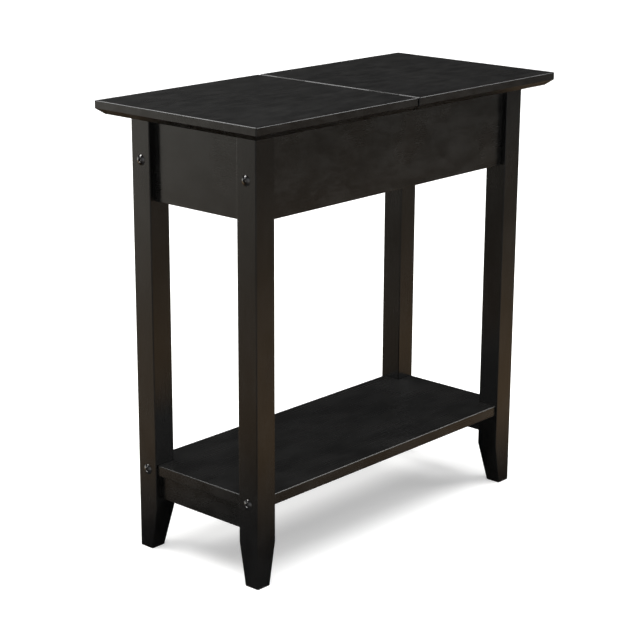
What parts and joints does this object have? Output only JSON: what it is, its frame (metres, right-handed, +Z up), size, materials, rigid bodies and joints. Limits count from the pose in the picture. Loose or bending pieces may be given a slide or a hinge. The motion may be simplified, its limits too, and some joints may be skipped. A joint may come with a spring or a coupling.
{
  "type": "lift top end table",
  "caption": "Narrow black end table with a split top, one half a lid on let-in hinges above a storage tray, legs tapered at the foot and a lower shelf notched round them.",
  "frame": {"origin": "on the floor, under the middle of the top", "axes": "+X along the long side toward the fixed half of the top, +Y from front to rear, +Z up"},
  "size_m": [0.6032, 0.2858, 0.6096],
  "materials": {
    "top_paint": "satin",
    "apron_paint": "satin",
    "leg_paint": "satin",
    "shelf_paint": "satin",
    "rail_paint": "satin",
    "floor_board": "matte",
    "black_steel": "semi-gloss",
    "hinge_steel": "satin",
    "zinc_steel": "satin",
    "pine": "bare"
  },
  "bodies": {
    "frame": {"fixed_top_panel": "top_paint", "front_apron": "apron_paint", "rear_apron": "apron_paint", "left_end_apron": "apron_paint", "right_end_apron": "apron_paint", "compartment_floor": "floor_board", "cross_rail": "apron_paint", "leg_front_left": "leg_paint", "leg_front_right": "leg_paint", "leg_rear_left": "leg_paint", "leg_rear_right": "leg_paint", "lower_shelf": "shelf_paint", "left_shelf_rail": "rail_paint", "right_shelf_rail": "rail_paint", "upper_bolts": "black_steel", "lower_bolts": "black_steel", "upper_inserts": "zinc_steel", "lower_inserts": "zinc_steel", "front_hinge_fixed_leaf": "hinge_steel", "rear_hinge_fixed_leaf": "hinge_steel", "front_hinge_pin": "hinge_steel", "rear_hinge_pin": "hinge_steel", "front_cleat": "pine", "rear_cleat": "pine"},
    "lid": {"lid_panel": "top_paint", "front_hinge_lid_leaf": "hinge_steel", "rear_hinge_lid_leaf": "hinge_steel"}
  },
  "joints": [
    {"name": "lid_hinge", "type": "hinge", "parent": "frame", "child": "lid", "pos_m": [0, 0, 0.6073], "axis": [0, 1, 0], "range_deg": [0, 95]}
  ]
}
